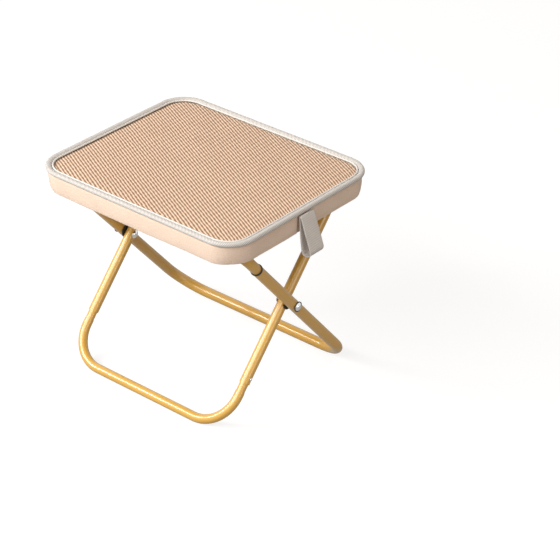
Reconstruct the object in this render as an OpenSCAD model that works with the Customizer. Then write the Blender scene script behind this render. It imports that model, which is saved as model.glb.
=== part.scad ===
// Folding camping stool: a padded mesh seat in two hinged halves, on two crossed U-shaped tube frames.
// X runs along the long side of the seat, Y along the short side, Z up. The origin is on the floor
// under the middle of the seat. All sizes are in millimetres.

/* [Seat] */
// Length of the seat over its edge piping, along X
seat_length = 350; // [320:1:400]
// Depth of the seat over its edge piping, along Y
seat_depth = 297.5; // [285:0.5:330]
// Height of the top of the piping above the floor
seat_height = 306; // [285:1:330]
// Outer corner radius of the seat
seat_corner_radius = 42; // [30:1:60]
// Gap between the two halves of the seat
seam_gap = 0.6; // [0.6:0.1:2]

/* [Seat layers] */
// Depth of the mesh below the top of the piping
mesh_recess = 3.7; // [2:0.1:4]
// Thickness of the mesh cover
cover_thickness = 1.5; // [1:0.1:1.8]
// Thickness of the foam pad
foam_thickness = 5.7; // [5.3:0.1:9]
// Thickness of the seat boards
board_thickness = 6; // [4:0.1:8]
// Width of the piping, across the edge
piping_width = 11.4; // [10:0.1:14]
// Height of the piping
piping_height = 6.4; // [6:0.1:8]
// Distance of the side band behind the outer edge of the piping
band_inset = 3.9; // [2.5:0.1:4.5]
// Thickness of the side band
band_thickness = 1.6; // [1:0.1:2]
// Height of the side band below the piping
band_height = 28; // [22:1:34]

/* [Legs] */
// Height of the crossing pivot above the floor
pivot_height = 150.9; // [140:0.1:160]
// Distance between the two floor bars, centre to centre
foot_spread = 251.3; // [230:0.1:260]
// Distance from the middle to the centre of an outer frame's side tube
outer_half_span = 155; // [148:0.1:157]
// Outer diameter of the lower tube of the outer frame
outer_lower_d = 15.6; // [15:0.1:16]
// Outer diameter of the upper tube of the outer frame
outer_upper_d = 14.6; // [14:0.1:15]
// Outer diameter of the lower tube of the inner frame
inner_lower_d = 13.2; // [13:0.1:13.8]
// Outer diameter of the upper tube of the inner frame
inner_upper_d = 14.4; // [14:0.1:15]
// Wall of all the tubes
tube_wall = 1.1; // [0.9:0.1:1.2]
// Bend radius of the lower tubes at their centre line
lower_bend_radius = 50; // [35:1:53]
// Bend radius of the upper tubes at their centre line
upper_bend_radius = 38; // [30:1:45]
// Distance of the outer frame's tube joint from its top bar, along the leg
outer_joint_down = 57; // [50:0.5:70]
// Distance of the inner frame's tube joint from its floor bar, along the leg
inner_joint_up = 69; // [68:1:90]
// Length of tube pushed into the other tube at a joint
joint_insert = 24; // [15:1:30]
// Length of bare neck below the inner frame's tube joint
neck_length = 12; // [5:1:14]

/* [Pivots and joints] */
// Diameter of the pivot rivets
rivet_d = 6; // [4:0.1:7]
// Diameter of the pivot rivet heads
rivet_head_d = 12; // [10:0.1:14]
// Height of the pivot rivet heads
rivet_head_h = 3.2; // [2:0.1:4]
// Diameter of the black washer under a rivet head
head_washer_d = 14.6; // [12.5:0.1:16]
// Diameter of the spacer between the crossing tubes
spacer_d = 20; // [14:0.1:24]
// Thickness of the flat washers and spacers
washer_thickness = 1; // [0.8:0.1:1.5]
// Thickness of the ring at the outer frame's tube joint
joint_ring_thickness = 1.6; // [1:0.1:3]
// How far the joint ring stands out of the tube
joint_ring_lip = 0.3; // [0.1:0.1:0.6]
// Diameter of the small rivets at the inner frame's tube joint
joint_rivet_d = 2.4; // [2:0.1:3]

/* [Centre hinges] */
// Length of each hinge along X
hinge_length = 60; // [50:1:80]
// Distance of each hinge from the middle
hinge_offset = 92; // [60:1:110]
// Number of knuckles on a hinge
hinge_knuckles = 5; // [3:2:5]
// Width of one hinge leaf
hinge_leaf_width = 22; // [18:1:30]
// Thickness of a hinge leaf
hinge_leaf_thickness = 1.2; // [1:0.1:1.5]
// Diameter of the hinge knuckles
hinge_knuckle_d = 4.6; // [4.2:0.1:4.8]
// Diameter of the hinge pins
hinge_pin_d = 2.4; // [2:0.1:2.6]
// Diameter of the hinge screws
screw_d = 3; // [2.5:0.1:3.5]
// Diameter of the hinge screw heads
screw_head_d = 6; // [5:0.1:7]

/* [Webbing] */
// Width of the loops that hold the seat on the top bars
bar_loop_width = 50; // [30:1:60]
// Distance of those loops from the middle
bar_loop_offset = 62; // [50:1:75]
// Thickness of all the webbing
webbing_thickness = 1.6; // [1.2:0.1:2]
// Width of a pull strap
strap_width = 28; // [20:1:36]
// Length of a pull strap's hanging loop
strap_drop = 55; // [45:1:65]
// Width of the loop at its foot
strap_loop_d = 16; // [13:0.5:20]

/* [Fits] */
// Gap between parts that move past each other
moving_gap = 0.3; // [0.3:0.05:0.5]
// Gap round a pin or a push-in tube
pin_gap = 0.05; // [0.02:0.01:0.08]
// Gap between layers that lie on each other
seat_gap = 0.1; // [0.05:0.05:0.2]

/* [Hidden] */
$fn = 64;
cut = 1;

// Heights of the seat's layers
cover_top = seat_height - mesh_recess;
foam_top = cover_top - cover_thickness;
board_top = foam_top - foam_thickness;
board_bottom = board_top - board_thickness;
piping_bottom = seat_height - piping_height;
foam_step = piping_bottom - seat_gap;
band_bottom = piping_bottom - band_height;
pad_inset = piping_width + seat_gap;
board_inset = band_inset + band_thickness + seat_gap;

// Lines of the legs: each runs straight from its floor bar through the pivot to its top bar
half_spread = foot_spread / 2;
outer_angle = atan(half_spread / (pivot_height - outer_lower_d / 2));
inner_angle = atan(half_spread / (pivot_height - inner_lower_d / 2));
outer_foot_at = (pivot_height - outer_lower_d / 2) / cos(outer_angle);
inner_foot_at = (pivot_height - inner_lower_d / 2) / cos(inner_angle);
outer_top_z = board_bottom - moving_gap - outer_upper_d / 2;
inner_top_z = board_bottom - moving_gap - inner_upper_d / 2;
outer_top_at = (outer_top_z - pivot_height) / cos(outer_angle);
inner_top_at = (inner_top_z - pivot_height) / cos(inner_angle);
outer_top_y = -outer_top_at * sin(outer_angle);
inner_top_y = inner_top_at * sin(inner_angle);
outer_joint_at = outer_top_at - outer_joint_down;
inner_half_span = outer_half_span - outer_lower_d / 2 - moving_gap - washer_thickness - seat_gap
    - inner_upper_d / 2;
spigot_d = outer_lower_d - 2 * tube_wall - 2 * pin_gap;
neck_d = inner_upper_d - 2 * tube_wall - 2 * pin_gap;
inner_joint_at = inner_foot_at - inner_joint_up;

// The centre hinges turn just below the boards
hinge_z = board_bottom - hinge_knuckle_d / 2 - moving_gap;
knuckle_pitch = hinge_length / hinge_knuckles;
leaf_clear_y = hinge_knuckle_d / 2 + moving_gap;
screw_length = hinge_leaf_thickness + board_thickness - 1;
screw_head_h = 1.4;

// The pull straps hang just outside the piping
strap_x = seat_length / 2 + moving_gap;
strap_top_z = piping_bottom - webbing_thickness - seat_gap;
strap_foot_r = strap_loop_d / 2;
anchor_width = 12;
anchor_height = 5;
anchor_top_z = hinge_z + hinge_knuckle_d + 1;

tube_colour = [0.88, 0.68, 0.34];
metal_colour = [0.8, 0.8, 0.8];
black_colour = [0.1, 0.1, 0.1];
board_colour = [0.55, 0.42, 0.3];
foam_colour = [0.9, 0.88, 0.8];
mesh_colour = [0.8, 0.62, 0.46];
piping_colour = [0.8, 0.78, 0.75];
band_colour = [0.88, 0.77, 0.68];
webbing_colour = [0.62, 0.58, 0.55];

// A straight tube along Z
module tube(length, d, wall) {
    difference() {
        cylinder(h = length, d = d);
        translate([0, 0, -cut])
            cylinder(h = length + 2 * cut, d = d - 2 * wall);
    }
}

// A U-shaped tube in the XY plane: its bar lies along X at Y = 0 and its two arms run to Y = arm
module u_tube(half_span, arm, bend, d) {
    rotate([0, 90, 0])
        translate([0, 0, -(half_span - bend)])
            tube(2 * (half_span - bend), d, tube_wall);
    for (side = [0, 1])
        mirror([side, 0, 0]) {
            translate([half_span - bend, bend, 0])
                rotate([0, 0, -90])
                    rotate_extrude(angle = 90)
                        translate([bend, 0])
                            difference() {
                                circle(d = d);
                                circle(d = d - 2 * tube_wall);
                            }
            translate([half_span, bend, 0])
                rotate([-90, 0, 0])
                    tube(arm - bend, d, tube_wall);
        }
}

// Two thinner tube ends that carry on from a U-shaped tube's arms
module arm_ends(half_span, start, length, d) {
    for (side = [-1, 1])
        translate([side * half_span, start, 0])
            rotate([-90, 0, 0])
                tube(length, d, tube_wall);
}

// A round pin along X, centred on X = 0
module cross_pin(length, d) {
    rotate([0, 90, 0])
        translate([0, 0, -length / 2])
            cylinder(h = length, d = d);
}

// A domed rivet head whose flat side is at Z = 0
module dome(d, h) {
    ball_r = (d * d / 4 + h * h) / (2 * h);
    difference() {
        translate([0, 0, h - ball_r])
            sphere(r = ball_r);
        translate([-ball_r - cut, -ball_r - cut, -2 * ball_r - cut])
            cube([2 * ball_r + 2 * cut, 2 * ball_r + 2 * cut, 2 * ball_r + cut]);
    }
}

// Puts a frame drawn in the XY plane on its leg line. Its Y axis then runs up the leg from the pivot
module on_outer_leg() {
    translate([0, 0, pivot_height])
        rotate([90 + outer_angle, 0, 0])
            children();
}

module on_inner_leg() {
    translate([0, 0, pivot_height])
        rotate([90 - inner_angle, 0, 0])
            children();
}

// Outer frame

module outer_lower_frame() {
    color(tube_colour)
        on_outer_leg()
            difference() {
                translate([0, -outer_foot_at, 0])
                    u_tube(outer_half_span, outer_foot_at + outer_joint_at, lower_bend_radius, outer_lower_d);
                cross_pin(2 * outer_half_span + 2 * outer_lower_d, rivet_d + 2 * pin_gap);
            }
}

module outer_upper_frame() {
    length = outer_joint_down - joint_ring_thickness;
    color(tube_colour)
        on_outer_leg()
            translate([0, outer_top_at, 0])
                mirror([0, 1, 0]) {
                    u_tube(outer_half_span, length, upper_bend_radius, outer_upper_d);
                    arm_ends(outer_half_span, length, joint_insert, spigot_d);
                }
}

module outer_joint_rings() {
    color(black_colour)
        on_outer_leg()
            for (side = [-1, 1])
                translate([side * outer_half_span, outer_joint_at, 0])
                    rotate([-90, 0, 0])
                        difference() {
                            cylinder(h = joint_ring_thickness, d = outer_lower_d + 2 * joint_ring_lip);
                            translate([0, 0, -cut])
                                cylinder(h = joint_ring_thickness + 2 * cut, d = spigot_d + 2 * pin_gap);
                        }
}

// Inner frame

module inner_lower_frame() {
    full = inner_joint_up - neck_length;
    color(tube_colour)
        on_inner_leg()
            difference() {
                translate([0, -inner_foot_at, 0]) {
                    u_tube(inner_half_span, full, lower_bend_radius, inner_lower_d);
                    arm_ends(inner_half_span, full, neck_length + joint_insert, neck_d);
                }
                joint_rivet_holes();
            }
}

module inner_upper_frame() {
    color(tube_colour)
        on_inner_leg()
            difference() {
                translate([0, inner_top_at, 0])
                    mirror([0, 1, 0])
                        u_tube(inner_half_span, inner_top_at + inner_joint_at, upper_bend_radius, inner_upper_d);
                cross_pin(2 * inner_half_span + 2 * inner_upper_d, rivet_d + 2 * pin_gap);
                joint_rivet_holes();
            }
}

// The holes of the small rivets, on the outer side of each side tube
module joint_rivet_holes() {
    for (side = [0, 1])
        mirror([side, 0, 0])
            translate([inner_half_span, -inner_joint_at + joint_insert / 3, 0])
                rotate([0, 90, 0])
                    cylinder(h = inner_upper_d, d = joint_rivet_d + 2 * pin_gap);
}

module inner_joint_rivets() {
    inside = neck_d / 2 - tube_wall;
    head_at = inner_upper_d / 2 + seat_gap;
    color(metal_colour)
        on_inner_leg()
            for (side = [0, 1])
                mirror([side, 0, 0])
                    translate([inner_half_span, -inner_joint_at + joint_insert / 3, 0])
                        rotate([0, 90, 0]) {
                            translate([0, 0, inside])
                                cylinder(h = head_at - inside, d = joint_rivet_d);
                            translate([0, 0, head_at])
                                dome(2 * joint_rivet_d, joint_rivet_d / 2);
                        }
}

// Pivots

module pivot_rivet() {
    inner_face = inner_half_span - inner_upper_d / 2 - moving_gap;
    outer_face = outer_half_span + outer_lower_d / 2 + washer_thickness;
    translate([inner_face, 0, pivot_height])
        rotate([0, 90, 0]) {
            cylinder(h = outer_face - inner_face, d = rivet_d);
            translate([0, 0, outer_face - inner_face])
                dome(rivet_head_d, rivet_head_h);
            mirror([0, 0, 1])
                dome(rivet_head_d, rivet_head_h);
        }
}

module pivot_rivet_right() {
    color(metal_colour)
        pivot_rivet();
}

module pivot_rivet_left() {
    color(metal_colour)
        mirror([1, 0, 0])
            pivot_rivet();
}

// A flat washer on each side of the stool, its inner face at X = from
module washer_pair(from, d) {
    for (side = [0, 1])
        mirror([side, 0, 0])
            translate([from, 0, pivot_height])
                rotate([0, 90, 0])
                    difference() {
                        cylinder(h = washer_thickness, d = d);
                        translate([0, 0, -cut])
                            cylinder(h = washer_thickness + 2 * cut, d = rivet_d + 2 * pin_gap);
                    }
}

module rivet_head_washers() {
    color(black_colour)
        washer_pair(outer_half_span + outer_lower_d / 2, head_washer_d);
}

module pivot_spacers() {
    color(black_colour)
        washer_pair(inner_half_span + inner_upper_d / 2 + seat_gap, spacer_d);
}

// Seat

// The outline of the seat, drawn in by an inset
module seat_outline(inset) {
    r = seat_corner_radius - inset;
    x = seat_length / 2 - seat_corner_radius;
    y = seat_depth / 2 - seat_corner_radius;
    square([2 * (x + r), 2 * y], center = true);
    square([2 * x, 2 * (y + r)], center = true);
    for (sx = [-1, 1], sy = [-1, 1])
        translate([sx * x, sy * y])
            circle(r = r);
}

// The half of a flat shape that lies in front of the centre seam
module front_part() {
    intersection() {
        children();
        translate([-seat_length, -seat_depth - seam_gap / 2])
            square([2 * seat_length, seat_depth]);
    }
}

module front_slab(inset, bottom, thickness) {
    translate([0, 0, bottom])
        linear_extrude(height = thickness)
            front_part()
                seat_outline(inset);
}

module mirror_to_back() {
    mirror([0, 1, 0])
        children();
}

// Places of the hinge screws on the front leaf
module at_hinge_screws() {
    for (side = [-1, 1], end = [-1, 1])
        translate([side * hinge_offset + end * hinge_length / 3, -hinge_leaf_width * 0.62, 0])
            children();
}

module seat_board() {
    difference() {
        front_slab(board_inset, board_bottom, board_thickness);
        at_hinge_screws()
            translate([0, 0, board_bottom - cut])
                cylinder(h = screw_length - hinge_leaf_thickness + cut + pin_gap, d = screw_d + 2 * pin_gap);
    }
}

module seat_board_front() {
    color(board_colour)
        seat_board();
}

module seat_board_back() {
    color(board_colour)
        mirror_to_back()
            seat_board();
}

// The foam lies under the piping at its rim and rises inside it
module foam_pad() {
    front_slab(board_inset, board_top, foam_step - board_top);
    front_slab(pad_inset, foam_step, foam_top - foam_step);
}

module foam_pad_front() {
    color(foam_colour)
        foam_pad();
}

module foam_pad_back() {
    color(foam_colour)
        mirror_to_back()
            foam_pad();
}

module mesh_cover_front() {
    color(mesh_colour)
        front_slab(pad_inset, foam_top, cover_thickness);
}

module mesh_cover_back() {
    color(mesh_colour)
        mirror_to_back()
            front_slab(pad_inset, foam_top, cover_thickness);
}

// The piping's section: a flat oval whose outer side is at X = 0
module piping_section() {
    r = piping_height / 2;
    translate([-r, 0])
        circle(r = r);
    translate([r - piping_width, 0])
        circle(r = r);
    translate([r - piping_width, -r])
        square([piping_width - 2 * r, 2 * r]);
}

module piping_half() {
    x = seat_length / 2;
    y = seat_depth / 2;
    r = seat_corner_radius;
    translate([0, 0, piping_bottom + piping_height / 2]) {
        for (side = [0, 1])
            mirror([side, 0, 0]) {
                translate([x, -seam_gap / 2, 0])
                    rotate([90, 0, 0])
                        linear_extrude(height = y - r - seam_gap / 2)
                            piping_section();
                translate([x - r, r - y, 0])
                    rotate([0, 0, -90])
                        rotate_extrude(angle = 90)
                            translate([r, 0])
                                piping_section();
            }
        translate([r - x, -y, 0])
            rotate([0, 0, -90])
                rotate([90, 0, 0])
                    mirror([0, 0, 1])
                        linear_extrude(height = 2 * (x - r))
                            piping_section();
    }
}

module piping_front() {
    color(piping_colour)
        piping_half();
}

module piping_back() {
    color(piping_colour)
        mirror_to_back()
            piping_half();
}

module side_band_half() {
    translate([0, 0, band_bottom])
        linear_extrude(height = band_height)
            front_part()
                difference() {
                    seat_outline(band_inset);
                    seat_outline(band_inset + band_thickness);
                }
}

module side_band_front() {
    color(band_colour)
        side_band_half();
}

module side_band_back() {
    color(band_colour)
        mirror_to_back()
            side_band_half();
}

// Centre hinges

// One hinge leaf on the front side. Its own knuckles are those whose number, counted from the left,
// gives the remainder "own" when divided by two
module hinge_leaf(own) {
    plate_z = board_bottom - hinge_leaf_thickness;
    difference() {
        for (side = [-1, 1])
            translate([side * hinge_offset - hinge_length / 2, 0, 0]) {
                translate([0, -hinge_leaf_width, plate_z])
                    cube([hinge_length, hinge_leaf_width - leaf_clear_y, hinge_leaf_thickness]);
                for (i = [0 : hinge_knuckles - 1])
                    if (i % 2 == own)
                        translate([i * knuckle_pitch + moving_gap / 2, 0, 0])
                            knuckle(plate_z);
            }
        at_hinge_screws()
            translate([0, 0, plate_z - cut])
                cylinder(h = hinge_leaf_thickness + 2 * cut, d = screw_d + 2 * pin_gap);
    }
}

module knuckle(plate_z) {
    length = knuckle_pitch - moving_gap;
    difference() {
        union() {
            translate([0, 0, hinge_z])
                rotate([0, 90, 0])
                    cylinder(h = length, d = hinge_knuckle_d);
            translate([0, -leaf_clear_y, plate_z])
                cube([length, leaf_clear_y - hinge_pin_d / 2, board_bottom - plate_z - moving_gap]);
            translate([0, -hinge_knuckle_d / 2, hinge_z])
                cube([length, hinge_knuckle_d / 2 - hinge_pin_d / 2 - pin_gap, plate_z - hinge_z + moving_gap]);
        }
        translate([-cut, 0, hinge_z])
            rotate([0, 90, 0])
                cylinder(h = length + 2 * cut, d = hinge_pin_d + 2 * pin_gap);
    }
}

module hinge_leaves_front() {
    color(metal_colour)
        hinge_leaf(0);
}

module hinge_leaves_back() {
    color(metal_colour)
        mirror_to_back()
            hinge_leaf(1);
}

module hinge_pins() {
    color(metal_colour)
        for (side = [-1, 1])
            translate([side * hinge_offset, 0, hinge_z])
                cross_pin(hinge_length - moving_gap, hinge_pin_d);
}

module hinge_screws() {
    at_hinge_screws()
        translate([0, 0, board_bottom - hinge_leaf_thickness]) {
            cylinder(h = screw_length, d = screw_d);
            mirror([0, 0, 1])
                dome(screw_head_d, screw_head_h);
        }
}

module hinge_screws_front() {
    color(metal_colour)
        hinge_screws();
}

module hinge_screws_back() {
    color(metal_colour)
        mirror_to_back()
            hinge_screws();
}

// Webbing loops under the boards, round the top bars

// One loop's section in the YZ plane, drawn round the bar's centre
module bar_loop_section(bar_d) {
    inner_r = bar_d / 2 + moving_gap;
    outer_r = inner_r + webbing_thickness;
    flange = 3 * webbing_thickness + outer_r;
    difference() {
        union() {
            circle(r = outer_r);
            translate([-outer_r, 0])
                square([2 * outer_r, inner_r]);
            translate([-flange, inner_r - webbing_thickness])
                square([2 * flange, webbing_thickness]);
        }
        circle(r = inner_r);
        translate([-inner_r, 0])
            square([2 * inner_r, inner_r + cut]);
        translate([-flange, inner_r])
            square([2 * flange, outer_r]);
    }
}

module bar_loops(bar_y, bar_z, bar_d) {
    for (side = [-1, 1])
        translate([side * bar_loop_offset - bar_loop_width / 2, bar_y, bar_z])
            rotate([90, 0, 90])
                linear_extrude(height = bar_loop_width)
                    bar_loop_section(bar_d);
}

module bar_loops_front() {
    color(webbing_colour)
        bar_loops(outer_top_y, outer_top_z, outer_upper_d);
}

module bar_loops_back() {
    color(webbing_colour)
        bar_loops(inner_top_y, inner_top_z, inner_upper_d);
}

// Pull straps

module strap_anchor() {
    start = seat_length / 2 - band_inset + moving_gap;
    translate([start, -anchor_width / 2, anchor_top_z - anchor_height])
        cube([strap_x - start, anchor_width, anchor_height]);
}

module strap_anchor_right() {
    color(webbing_colour)
        strap_anchor();
}

module strap_anchor_left() {
    color(webbing_colour)
        mirror([1, 0, 0])
            strap_anchor();
}

// A teardrop of webbing seen from the front: pinched under the piping, round at its foot
module strap_section() {
    foot_z = strap_top_z - strap_drop + strap_foot_r;
    difference() {
        hull() {
            translate([strap_x + webbing_thickness + moving_gap, strap_top_z])
                circle(r = webbing_thickness, $fn = 24);
            translate([strap_x + moving_gap + strap_foot_r, foot_z])
                circle(r = strap_foot_r, $fn = 32);
        }
        hull() {
            translate([strap_x + webbing_thickness + moving_gap, strap_top_z - 4 * webbing_thickness])
                circle(r = webbing_thickness / 4, $fn = 16);
            translate([strap_x + moving_gap + strap_foot_r, foot_z])
                circle(r = strap_foot_r - webbing_thickness, $fn = 32);
        }
    }
}

module pull_strap() {
    translate([0, strap_width / 2, 0])
        rotate([90, 0, 0])
            linear_extrude(height = strap_width)
                strap_section();
}

module pull_strap_right() {
    color(webbing_colour)
        pull_strap();
}

module pull_strap_left() {
    color(webbing_colour)
        mirror([1, 0, 0])
            pull_strap();
}

outer_lower_frame();
outer_upper_frame();
outer_joint_rings();
inner_lower_frame();
inner_upper_frame();
inner_joint_rivets();
pivot_rivet_right();
pivot_rivet_left();
rivet_head_washers();
pivot_spacers();
seat_board_front();
seat_board_back();
foam_pad_front();
foam_pad_back();
mesh_cover_front();
mesh_cover_back();
piping_front();
piping_back();
side_band_front();
side_band_back();
hinge_leaves_front();
hinge_leaves_back();
hinge_pins();
hinge_screws_front();
hinge_screws_back();
bar_loops_front();
bar_loops_back();
strap_anchor_right();
strap_anchor_left();
pull_strap_right();
pull_strap_left();
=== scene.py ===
from math import ceil, cos, exp, hypot, pi, radians, sin

import bpy
from mathutils import Matrix, Vector, noise


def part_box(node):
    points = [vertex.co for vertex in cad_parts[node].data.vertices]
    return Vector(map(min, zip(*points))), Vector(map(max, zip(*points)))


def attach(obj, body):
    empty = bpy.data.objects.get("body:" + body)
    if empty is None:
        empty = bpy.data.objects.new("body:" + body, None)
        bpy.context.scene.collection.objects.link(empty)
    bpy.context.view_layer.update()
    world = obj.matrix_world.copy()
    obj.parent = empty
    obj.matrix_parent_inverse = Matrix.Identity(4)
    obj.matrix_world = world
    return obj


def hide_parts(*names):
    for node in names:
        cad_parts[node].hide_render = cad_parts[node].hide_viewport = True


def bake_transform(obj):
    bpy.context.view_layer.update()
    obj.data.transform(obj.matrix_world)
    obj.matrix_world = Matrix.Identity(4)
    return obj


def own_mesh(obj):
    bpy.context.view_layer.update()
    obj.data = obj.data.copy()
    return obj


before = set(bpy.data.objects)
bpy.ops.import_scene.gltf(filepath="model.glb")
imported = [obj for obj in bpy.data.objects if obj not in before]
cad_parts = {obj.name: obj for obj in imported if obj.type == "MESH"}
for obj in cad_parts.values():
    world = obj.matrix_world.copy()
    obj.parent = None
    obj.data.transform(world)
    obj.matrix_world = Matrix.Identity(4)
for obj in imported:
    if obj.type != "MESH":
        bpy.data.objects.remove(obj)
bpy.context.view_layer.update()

# Folding camping stool
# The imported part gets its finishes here. Its foam, fabric and webbing are made in mesh code, in
# the order in which they are laid round the boards and tubes.
scene = bpy.context.scene
scene.view_settings.view_transform = "Standard"

# Camera
# It looks down over the front right corner of the stool, as the photograph does, through a
# long lens. Its place counts from the middle of the floor, to its own right, up and back.
camera_heading = radians(38.76)
camera_height = radians(31.03)
camera_tilt = radians(1.17)
camera_place = Vector((0.10486, 0.10947, 2.85932))
towards_camera = Vector((sin(camera_heading) * cos(camera_height),
                         -cos(camera_heading) * cos(camera_height), sin(camera_height)))
level = Vector((cos(camera_heading), sin(camera_heading), 0))
upright = towards_camera.cross(level)
camera_right = level * cos(camera_tilt) + upright * sin(camera_tilt)
camera_up = upright * cos(camera_tilt) - level * sin(camera_tilt)
camera_data = bpy.data.cameras.new("camera")
camera_data.lens = 130.585
camera_data.sensor_width = 36
camera = bpy.data.objects.new("camera", camera_data)
scene.collection.objects.link(camera)
camera.matrix_world = Matrix.Translation(
    camera_right * camera_place.x + camera_up * camera_place.y + towards_camera * camera_place.z
) @ Matrix((camera_right, camera_up, towards_camera)).transposed().to_4x4()
scene.camera = camera


# Studio
# A wide soft lamp stands in front, above the stool, and a narrower one on either side draws a
# thin gleam along the tubes. The room fills the shadows. The floor is white, but the tubes
# mirror it only weakly, so that their golden colour stays.
def feed(tree, node, inputs):
    """Fills a node's inputs. Each value is a number, a colour or another node's output."""
    for name, value in inputs.items():
        if isinstance(value, bpy.types.NodeSocket):
            tree.links.new(value, node.inputs[name])
        else:
            node.inputs[name].default_value = value


def add_node(tree, kind, inputs, **settings):
    """Adds a shader node and returns its outputs."""
    node = tree.nodes.new("ShaderNode" + kind)
    for name, value in settings.items():
        setattr(node, name, value)
    feed(tree, node, inputs)
    return node.outputs


def reckon(tree, operation, *values, **settings):
    """Adds a Math node and returns its result."""
    return add_node(tree, "Math", dict(enumerate(values)), operation=operation, **settings)[0]


def in_view(tree, mirror_share):
    """A mask: 1 where the camera looks, and a share of that where metal or glass mirrors."""
    ray = add_node(tree, "LightPath", {})
    mirrored = reckon(tree, "MAXIMUM", ray["Is Glossy Ray"], ray["Is Transmission Ray"])
    return reckon(tree, "MAXIMUM", ray["Is Camera Ray"],
                  reckon(tree, "MULTIPLY", mirrored, mirror_share))


def add_lamp(name, direction, distance, size, energy, colour):
    """Adds a soft lamp that looks at the middle of the stool. Its size is (width, height)."""
    data = bpy.data.lights.new(name, "AREA")
    data.shape = "RECTANGLE"
    data.size, data.size_y = size
    data.energy = energy
    data.color = colour
    lamp = bpy.data.objects.new(name, data)
    scene.collection.objects.link(lamp)
    away = Vector(direction).normalized()
    lamp.location = away * distance + Vector((0, 0, stool_middle))
    lamp.rotation_euler = away.to_track_quat("Z", "Y").to_euler()


stool_middle = 0.15
add_lamp("soft_lamp", (-0.165, -0.737, 0.656), 3.0, (3.2, 1.2), 76, (1.0, 0.985, 0.965))
add_lamp("left_strip", (-0.60, -0.60, 0.53), 3.0, (0.50, 1.1), 34, (1.0, 0.985, 0.965))
add_lamp("side_strip", (0.93, -0.20, 0.30), 2.2, (0.22, 1.1), 5.5, (1.0, 0.95, 0.89))

room = bpy.data.worlds.new("white_room")
room.use_nodes = True
scene.world = room
tree = room.node_tree
tree.nodes.clear()
fill = add_node(tree, "Background", {"Color": (1.0, 0.90, 0.785, 1), "Strength": 0.425})
white = add_node(tree, "Background", {"Color": (1.0, 1.0, 1.0, 1), "Strength": 1.0})
room_light = add_node(tree, "MixShader", {0: in_view(tree, 1.0), 1: fill[0], 2: white[0]})
add_node(tree, "OutputWorld", {"Surface": room_light[0]})

floor_half = 6.0
floor_glow = 0.80
floor_mirrored = 0.3
floor_mesh = bpy.data.meshes.new("floor")
floor_mesh.from_pydata([(-floor_half, -floor_half, 0), (floor_half, -floor_half, 0),
                        (floor_half, floor_half, 0), (-floor_half, floor_half, 0)],
                       [], [(0, 1, 2, 3)])
floor = bpy.data.objects.new("floor", floor_mesh)
scene.collection.objects.link(floor)
floor_paint = bpy.data.materials.new("floor_paint")
floor_paint.use_nodes = True
tree = floor_paint.node_tree
tree.nodes.clear()
matt_floor = add_node(tree, "BsdfDiffuse", {"Color": (0.27, 0.275, 0.28, 1)})
glow = add_node(tree, "Emission", {
    "Strength": reckon(tree, "MULTIPLY", in_view(tree, floor_mirrored), floor_glow)})
whole_floor = add_node(tree, "AddShader", {0: matt_floor[0], 1: glow[0]})
add_node(tree, "OutputMaterial", {"Surface": whole_floor[0]})
floor_mesh.materials.append(floor_paint)


# Leg tubes
# Four bent aluminium tubes in a golden yellow powder coat, thin and even, with the fine orange
# peel of such a coat. The coat is scuffed only where the floor bars rub on the ground.
def mix_colours(tree, share, first, second, blend="MIX"):
    """Mixes two colours. A share of 0 gives the first one."""
    return add_node(tree, "Mix", {0: share, 6: first, 7: second},
                    data_type="RGBA", blend_type=blend)[2]


def remap(tree, value, start, end, low=0.0, high=1.0, **settings):
    """Turns the range from start to end into the range from low to high, and stays inside it."""
    return add_node(tree, "MapRange", {"Value": value, "From Min": start, "From Max": end,
                                       "To Min": low, "To Max": high}, **settings)[0]


def new_group(name, inputs, outputs):
    """Starts a node group. Returns its tree, its inputs' sockets and its outputs' sockets."""
    tree = bpy.data.node_groups.new(name, "ShaderNodeTree")
    kinds = {float: "NodeSocketFloat", Vector: "NodeSocketVector", tuple: "NodeSocketColor"}
    for label, value in inputs.items():
        socket = tree.interface.new_socket(label, in_out="INPUT", socket_type=kinds[type(value)])
        socket.default_value = value
    for label, kind in outputs.items():
        tree.interface.new_socket(label, in_out="OUTPUT", socket_type="NodeSocket" + kind)
    return tree, tree.nodes.new("NodeGroupInput").outputs, tree.nodes.new("NodeGroupOutput").inputs


mottle, given, result = new_group(
    "mottle",
    {"Coordinates": Vector(), "Patches per Metre": 100.0, "Softness": 0.25,
     "Light Colour": (1.0, 1.0, 1.0, 1.0), "Dark Colour": (0.5, 0.5, 0.5, 1.0)},
    {"Colour": "Color", "Mask": "Float"})
cloud = add_node(mottle, "TexNoise", {
    "Vector": given["Coordinates"], "Scale": given["Patches per Metre"], "Detail": 4.0})
spread = remap(mottle, cloud["Fac"], reckon(mottle, "SUBTRACT", 0.5, given["Softness"]),
               reckon(mottle, "ADD", 0.5, given["Softness"]))
tint = mix_colours(mottle, spread, given["Dark Colour"], given["Light Colour"])
mottle.links.new(tint, result["Colour"])
mottle.links.new(spread, result["Mask"])

scuffs, given, result = new_group(
    "scuffs", {"Coordinates": Vector(), "Marks per Metre": 120.0, "Amount": 0.3},
    {"Mask": "Float"})
drawn_out = add_node(scuffs, "VectorMath", {0: given["Coordinates"], 1: (0.18, 1.0, 1.0)},
                     operation="MULTIPLY")
streaks = add_node(scuffs, "TexNoise", {
    "Vector": drawn_out[0], "Scale": given["Marks per Metre"], "Detail": 6.0, "Roughness": 0.7})
edge = remap(scuffs, given["Amount"], 0.0, 1.0, 0.85, 0.35)
marks = remap(scuffs, streaks["Fac"], edge, reckon(scuffs, "ADD", edge, 0.12))
scuffs.links.new(marks, result["Mask"])


def new_material(name):
    """Starts a material. Returns it, its node tree and its shader."""
    material = bpy.data.materials.new(name)
    material.use_nodes = True
    return material, material.node_tree, material.node_tree.nodes["Principled BSDF"]


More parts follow.
